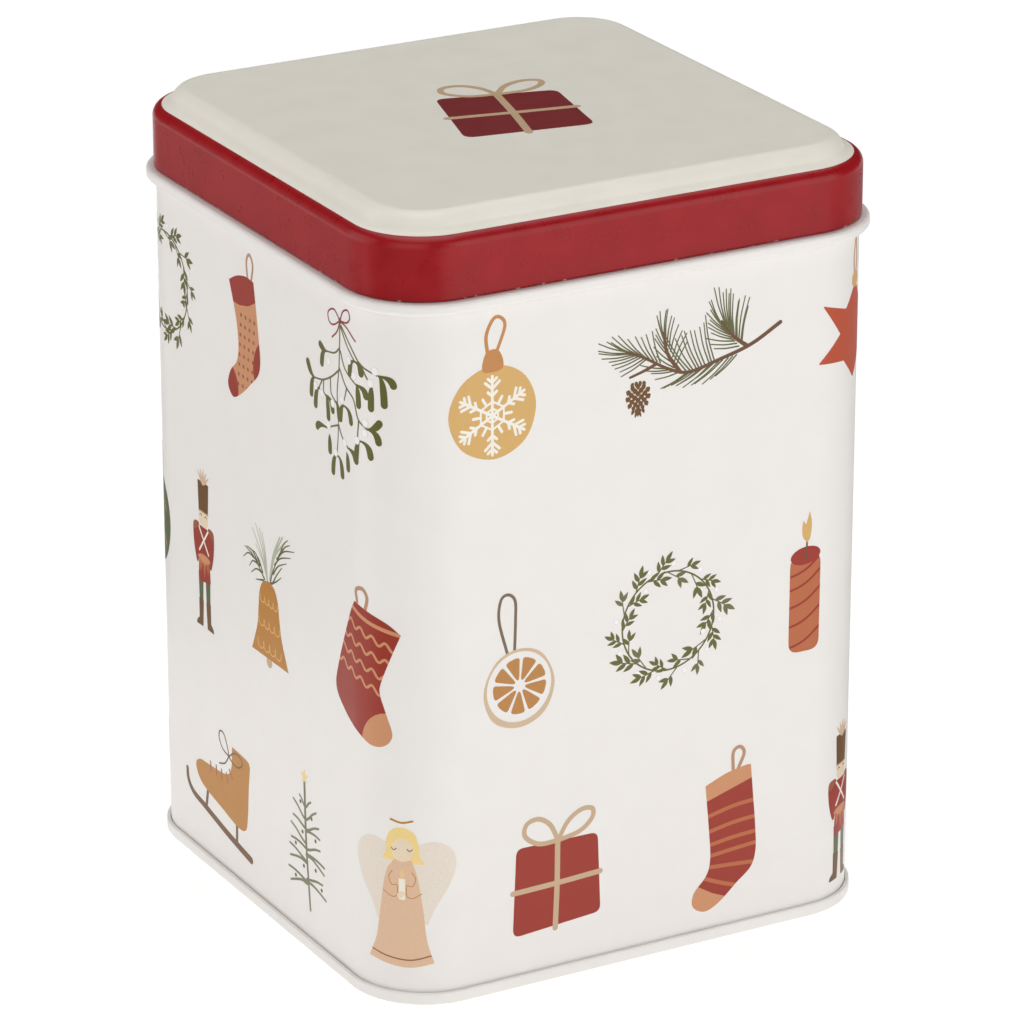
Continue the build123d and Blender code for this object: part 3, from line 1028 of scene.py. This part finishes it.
def mistletoe(drawing):
    stems = [
        [(-0.1, 15), (-0.3, 9.4), (-0.7, 5), (-1.5, 0), (-1.1, -6), (-1.8, -12.4)],
        [(-0.4, 9.4), (-2.4, 7.9), (-5.8, 7.2)], [(-0.6, 5), (-3.6, 2.8), (-7.2, 1), (-10.8, 0.3)],
        [(-4.2, 2.4), (-4, -0.6), (-2.4, -1.7)], [(-7, 1), (-7.1, -1.2), (-6.2, -1.9)],
        [(-7.6, 0.8), (-8.6, -0.6), (-9, -1.4)], [(0, 9), (1.8, 6), (5.8, 4.1)],
        [(-0.4, 5.4), (2, 2.6), (5, 0.9), (6.4, -2.6), (8.8, -4)], [(2.4, 2.4), (1.4, -0.4)],
        [(6.6, -3), (6.2, -6.4)], [(-0.9, -6.2), (-3, -7), (-5.6, -8.2)],
        [(-0.8, -6.6), (0.6, -8.4), (2.4, -9.4)], [(0.1, 14), (2.6, 11), (5.6, 8.6)],
        [(0.4, 14.2), (4.4, 11), (7.4, 8.4), (11.4, 7.2)], [(7.2, 8.6), (9.8, 5)],
    ]
    for stem in stems:
        drawing.line("moss", curve(stem, 4), 0.42, 0.32)
    # joint, then how far each leaf of the pair reaches sideways and drops
    pairs = [
        ((-1.6, -12.6), (-1.9, 3.8), (1.9, 3.4)), ((-5.6, 7.2), (-2.6, -0.6), (-2.1, 3)),
        ((-10.6, 0.3), (-2.9, -2.4), (-1.6, 3.6)), ((-8.6, -1.2), (-1.9, 3.9)),
        ((-6.4, -1.8), (1.2, 4.2), (3, 2.2)), ((-2.6, -1.8), (1.8, 2.9)),
        ((1.4, -1.6), (-1.6, 3), (2.6, 2.4)), ((5.6, 8.6), (-1.9, 2.8), (1.8, 1.9)),
        ((11.6, 7.2), (3.2, 1.5), (1.3, 5.6)), ((10.2, 4.8), (-0.3, 4.4)),
        ((5.8, 4.1), (2.9, 1.6), (0.8, 3.9)), ((8.8, -4), (3, -1.7), (2.8, 2.1)),
        ((7.2, -6.9), (-1.5, 4.4), (2.5, 2.5)), ((2.4, -9.6), (3.1, 1.5)), ((2, -10.8), (0.7, 3)),
        ((-5.8, -8.3), (-4.1, 1)), ((-5, -9.4), (0.3, 3.2)),
    ]
    for joint, *leaves in pairs:
        for reach, drop in leaves:
            droop(drawing, "olive", joint, reach, drop)
    berries = [
        (-4.9, 5.4), (-10.4, -1.2), (-7.8, -2), (-3.4, -2.6), (0.4, -0.6), (5.2, 5.6), (10.9, 8),
        (9.8, 5.4), (8.4, -2.9), (8.2, -5), (6, -7), (-5.2, -7.6), (1.4, -9), (-2.4, -12.2),
        (3.4, 8.2),
    ]
    for berry in berries:
        drawing.line("frost", ring_of(berry, 0.78, 15), 0.14)
    drawing.dots("pearl", berries, 0.76)
    ties = [
        [(0, 15), (-2.4, 16.6), (-4.8, 15.4), (-4.4, 13.6), (-2.6, 13.5), (0, 15)],
        [(0, 15), (1.2, 17.2), (3.2, 18), (3.9, 16.6), (2.6, 15.4), (0, 15)],
        [(0, 15), (-1.2, 12.6), (-3.3, 10.8)], [(0, 15), (2.8, 14.4), (5.8, 12.7)],
    ]
    for tie in ties:
        drawing.line("wine", curve(tie), 0.36)
    drawing.dots("wine", [(0, 15)], 0.6)


# ---- printing ----------------------------------------------------------------------------------
def drawn(picture, *details):
    """The drawing that a picture function makes."""
    drawing = Drawing()
    picture(drawing, *details)
    return drawing


def covers(outline, point):
    """Whether a closed outline winds round a point."""
    winding = 0
    for a, b in zip(outline, [*outline[1:], outline[0]]):
        upward = b.y > point.y >= a.y
        downward = a.y > point.y >= b.y
        left = (b - a).cross(point - a) > 0
        winding += (upward and left) - (downward and not left)
    return winding != 0


def flatten(drawing, place, fold_lines):
    """Cuts a drawing into flat triangles, each with the ink that is on top there, after place has
    moved its points. No triangle crosses a fold line, which is an upright line at a given x."""
    points, faces, edges, outlines = [], [], [], []
    for _, outline, _ in drawing.shapes:
        moved = [place(point) for point in outline]
        area = sum(a.cross(b) for a, b in zip(moved, [*moved[1:], moved[0]]))
        if area < 0:
            moved.reverse()
        faces.append(list(range(len(points), len(points) + len(moved))))
        points += moved
        outlines.append(moved)
    left, right = min(p.x for p in points), max(p.x for p in points)
    bottom, top = min(p.y for p in points) - 1, max(p.y for p in points) + 1
    for x in fold_lines:
        if left < x < right:
            edges.append((len(points), len(points) + 1))
            points += [Vector((x, bottom)), Vector((x, top))]
    spots, _, triangles, _, _, sources = delaunay_2d_cdt(
        points, edges, faces, TRIANGLES_IN_HULL, SAME_POINT
    )
    inked = []
    for triangle, candidates in zip(triangles, sources):
        middle = sum((spots[index] for index in triangle), Vector((0, 0))) / 3
        layers = {index for index in candidates if covers(outlines[index], middle)}
        for index in sorted(layers, reverse=True):
            ink, _, clip = drawing.shapes[index]
            if clip is None or clip in layers:
                if ink:
                    inked.append((triangle, ink))
                break
    return spots, inked


def ink_film(name, drawing, place, surface, fold_lines=()):
    """A closed film of ink on a surface, which gives the point and the direction outward at each
    place of the flat drawing."""
    spots, inked = flatten(drawing, place, fold_lines)
    used = sorted({index for triangle, _ in inked for index in triangle})
    number = {index: 2 * order for order, index in enumerate(used)}
    vertices, outward = [], []
    for index in used:
        point, out = surface(spots[index])
        vertices += [point + out * INK_HEIGHT, point - out * INK_DEPTH]
        outward += [out, -out]
    faces, coats, normals = [], [], []

    def add_face(corners, ink, directions):
        faces.append(corners)
        coats.append(ink)
        normals.extend(directions)

    edge_inks = {}
    for triangle, ink in inked:
        front = [number[index] for index in triangle]
        back = [index + 1 for index in reversed(front)]
        add_face(front, ink, [outward[index] for index in front])
        add_face(back, ink, [outward[index] for index in back])
        for a, b in zip(front, front[1:] + front[:1]):
            edge_inks[a, b] = ink
    for (a, b), ink in edge_inks.items():
        if (b, a) not in edge_inks:
            side = (vertices[b] - vertices[a]).cross(outward[a]).normalized()
            add_face([a + 1, b + 1, b, a], ink, [side] * 4)
    return make_piece(name, vertices, faces, coats, normals, inks)


def placed(x, y, turn=0.0, scale=1.0, mirror=False):
    """A function that moves a drawing's points to where it is printed."""
    turned = Matrix.Rotation(math.radians(turn), 2)

    def place(point):
        flipped = Vector((-point[0] if mirror else point[0], point[1]))
        return Vector((x, y)) + scale * (turned @ flipped)

    return place


def on_wall(spot):
    point, out = wall_frame(spot.x)
    return Vector((point.x, point.y, spot.y)), Vector((out.x, out.y, 0))


def on_lid(spot):
    return Vector((spot.x, spot.y, TIN_HEIGHT)), Vector((0, 0, 1))


def print_on_wall(name, drawing, around, height, turn=0.0, scale=1.0, mirror=False):
    nearby = range(-2, 3)
    folds = [x + 4 * QUARTER * turns for x in corner_stations() for turns in nearby]
    place = placed(around, height, turn, scale, mirror)
    film = ink_film("print_" + name, drawing, place, on_wall, folds)
    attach(film, "tin")


def print_on_lid(name, drawing, x, y, turn=0.0, scale=1.0):
    film = ink_film("print_" + name, drawing, placed(x, y, turn, scale), on_lid)
    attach(film, "lid")


INK_COLOURS = {
    "red": (154, 46, 28),
    "deep_red": (123, 32, 35),
    "brick": (156, 44, 26),
    "rust": (186, 76, 44),
    "coral": (184, 102, 60),
    "peach": (203, 142, 100),
    "blush": (221, 184, 152),
    "skin": (232, 212, 184),
    "hair": (238, 210, 138),
    "gold": (213, 170, 102),
    "flame": (228, 196, 140),
    "honey": (218, 164, 96),
    "orange": (186, 129, 66),
    "ochre": (185, 124, 38),
    "caramel": (194, 133, 74),
    "latte": (211, 182, 150),
    "rind": (209, 182, 152),
    "ribbon": (198, 169, 136),
    "dusk": (182, 140, 110),
    "clay": (150, 88, 52),
    "bark": (105, 71, 44),
    "umber": (108, 71, 26),
    "thread": (120, 100, 76),
    "wine": (140, 60, 54),
    "olive": (98, 98, 42),
    "moss": (108, 106, 66),
    "sage": (116, 118, 88),
    "mist": (178, 182, 160),
    "frost": (212, 211, 205),
    "forest": (90, 97, 58),
    "pine": (94, 95, 52),
    "pearl": (243, 241, 238),
    "pearl_grey": (228, 217, 203),
    "cream": (240, 232, 216),
    "white": (240, 236, 226),
}


def printing_ink(name):
    """Ink under the same varnish as the lacquer, with the fine screen grain of tin printing."""
    colour = Vector(paint(*INK_COLOURS[name])[:3])
    shader = Shader("ink_" + name, 0.36, specular=0.4)
    grain = shader.spread(shader.noise(0.25, detail=1.0), 0.35, 0.65)
    shader.colour(shader.mix(grain, (*(colour * 0.965), 1.0), (*(colour * 1.035), 1.0)))
    shader.gloss(shader.cloud(4.0, 2.0, 0.32, 0.4))
    sheet_surface(shader)
    return shader.material


random.seed(7)
inks = {name: printing_ink(name) for name in INK_COLOURS}

# name, picture, millimetres round the tin from the front's middle, height, then where they
# differ from the usual: turn in degrees, scale, mirror
PRINTS = [
    ("bauble_front", bauble, -32.8, 120.7),
    ("branch_front", pine_branch, 10, 124),
    ("star_front", star, 50.4, 121.6),
    ("wavy_stocking_front", wavy_stocking, -61, 68),
    ("orange_slice_front", orange_slice, -27.2, 63.7),
    ("wreath_front", wreath, 6, 70.7),
    ("candle_front", candle, 37.2, 69),
    ("angel_front", angel, -51.7, 20),
    ("gift_front", gift, -18.6, 20.2),
    ("striped_stocking_front", striped_stocking, 20.4, 20),
    ("soldier_front", toy_soldier, 48.9, 20.7),
    ("wreath_left", wreath, -143.5, 122.3),
    ("dotted_stocking_left", dotted_stocking, -108.1, 120),
    ("mistletoe_left", mistletoe, -67.4, 122),
    ("ornament_left", oval_ornament, -150, 69.5),
    ("soldier_left", toy_soldier, -128.1, 67.8),
    ("bell_left", bell, -99.3, 64),
    ("skate_left", ice_skate, -122, 20),
    ("tree_left", sparse_tree, -84.3, 21),
    ("gift_right", gift, 86, 120, 6),
    ("ornament_right", oval_ornament, 117, 121),
    ("candle_back", candle, 145, 120),
    ("skate_back", ice_skate, 195, 119, 0, 1, True),
    ("bell_back", bell, 232, 121),
    ("tree_right", sparse_tree, 75, 70),
    ("bauble_right", bauble, 108, 66),
    ("dotted_stocking_back", dotted_stocking, 144, 68, 0, 1, True),
    ("branch_back", pine_branch, 201, 70, 0, 1, True),
    ("angel_back", angel, 240, 68),
    ("bell_right", bell, 82, 21),
    ("orange_slice_right", orange_slice, 115, 20),
    ("wavy_stocking_back", wavy_stocking, 149, 22, 0, 1, True),
    ("mistletoe_back", mistletoe, 194, 22),
    ("star_back", star, 228, 22),
    ("bauble_back", bauble, 255, 20),
]
for name, picture, *place in PRINTS:
    print_on_wall(name, drawn(picture), *place)
print_on_lid("gift_lid", drawn(gift, "deep_red"), 0.36, -3.4, turn=-13, scale=1.36)


# ---- studio ------------------------------------------------------------------------------------
CAMERA_AZIMUTH = math.radians(-29.1)
CAMERA_ELEVATION = math.radians(21.4)
CAMERA_DISTANCE = 1144.0
CAMERA_AIM_HEIGHT = 75.7
CAMERA_AIM_RIGHT = 1.7
CAMERA_LENS = 200.0
SENSOR_WIDTH = 36.0
NEAREST_SEEN, FARTHEST_SEEN = 0.05, 50.0  # metres, as are the five below
SOFT_BOX_DISTANCE = 1.5
SOFT_BOX_SIZE = 1.2
SOFT_BOX_AIM_HEIGHT = 0.08
TABLE_REACH = 4.0
FLAG_HEIGHT = 0.001
GLOW_DISTANCES = (350.0, 700.0)  # millimetres
GLOW_STRENGTHS = (0.4, 0.47)


def toward(azimuth, elevation):
    """A direction from the tin: azimuth 0 is in front of it, and positive is to the right."""
    level = math.cos(elevation)
    return Vector(
        (math.sin(azimuth) * level, -math.cos(azimuth) * level, math.sin(elevation))
    )


def add_camera():
    data = bpy.data.cameras.new("camera")
    data.lens = CAMERA_LENS
    data.sensor_width = SENSOR_WIDTH
    data.clip_start = NEAREST_SEEN
    data.clip_end = FARTHEST_SEEN
    camera = add_object("camera", data)
    back = toward(CAMERA_AZIMUTH, CAMERA_ELEVATION)
    right = Vector((math.cos(CAMERA_AZIMUTH), math.sin(CAMERA_AZIMUTH), 0))
    aim = Vector((0, 0, CAMERA_AIM_HEIGHT)) + right * CAMERA_AIM_RIGHT
    camera.location = (aim + back * CAMERA_DISTANCE) * MM
    camera.rotation_mode = "QUATERNION"
    camera.rotation_quaternion = (-back).to_track_quat("-Z", "Y")
    bpy.context.scene.camera = camera


def add_area_light(name, azimuth, elevation, power, colour=(1.0, 1.0, 1.0)):
    """A square soft box that faces the tin, with angles in degrees and power in watts."""
    data = bpy.data.lights.new(name, "AREA")
    data.shape = "SQUARE"
    data.size = SOFT_BOX_SIZE
    data.energy = power
    data.color = colour
    light = add_object(name, data)
    way = toward(math.radians(azimuth), math.radians(elevation))
    light.location = way * SOFT_BOX_DISTANCE + Vector((0, 0, SOFT_BOX_AIM_HEIGHT))
    light.rotation_mode = "QUATERNION"
    light.rotation_quaternion = (-way).to_track_quat("-Z", "Y")


def light_table():
    """A pale translucent table top, faintly lit from below, and a little more so toward its ends,
    where the soft boxes reach less."""
    shader = Shader("light_table", 0.6)
    shader.colour(shader.mix(shader.cloud(200.0), paint(244, 244, 243), paint(247, 247, 246)))
    glow = shader.spread(shader.distance(), *GLOW_DISTANCES, *GLOW_STRENGTHS)
    shader.feed(shader.bsdf, {"Emission Color": (1.0, 1.0, 1.0, 1.0), "Emission Strength": glow})
    return shader.material


def add_card(name, corners, material):
    """A flat sheet with four corners."""
    mesh = bpy.data.meshes.new(name)
    mesh.from_pydata(corners, [], [(0, 1, 2, 3)])
    mesh.materials.append(material)
    return add_object(name, mesh)


def add_floor():
    sides = [(-1, -1), (1, -1), (1, 1), (-1, 1)]
    corners = [(TABLE_REACH * x, TABLE_REACH * y, 0) for x, y in sides]
    floor = add_card("floor", corners, light_table())


def add_world(strength):
    world = bpy.data.worlds.new("studio")
    world.use_nodes = True
    background = world.node_tree.nodes["Background"]
    background.inputs["Color"].default_value = (1.0, 0.995, 0.985, 1.0)
    background.inputs["Strength"].default_value = strength
    bpy.context.scene.world = world


def add_flag(name, azimuths, near, far, tone):
    """A card on the table, which only reflections see, as the dark end of a studio. It reaches
    from near to far, in metres, between two azimuths in degrees."""
    shader = Shader(name, 1.0)
    lighter = tone + 0.01
    tones = (tone, tone, tone, 1.0), (lighter, lighter, lighter, 1.0)
    shader.colour(shader.mix(shader.cloud(50.0), *tones))
    ways = [toward(math.radians(azimuth), 0) for azimuth in azimuths]
    spots = [way * near for way in ways] + [way * far for way in reversed(ways)]
    corners = [spot + Vector((0, 0, FLAG_HEIGHT)) for spot in spots]
    flag = add_card(name, corners, shader.material)
    flag.visible_camera = False
    flag.visible_diffuse = False
    flag.visible_shadow = False


add_camera()
add_floor()
add_flag("flag_front", azimuths=(-98, -6), near=0.25, far=1.4, tone=0.0)
add_flag("flag_left", azimuths=(-175, -104), near=0.2, far=0.75, tone=0.42)
add_flag("flag_right", azimuths=(42, 150), near=0.14, far=1.0, tone=0.45)
add_world(strength=0.05)
add_area_light("soft_box_right", azimuth=31, elevation=15, power=8.8)
add_area_light("soft_box_front", azimuth=-45, elevation=25, power=6.3)
add_area_light("soft_box_left", azimuth=-120, elevation=20, power=6.3, colour=(1.0, 0.98, 0.97))
add_area_light("soft_box_top", azimuth=0, elevation=88, power=7.4)
add_area_light("soft_box_back", azimuth=151, elevation=65, power=6.2)
bpy.context.scene.view_settings.view_transform = "Standard"
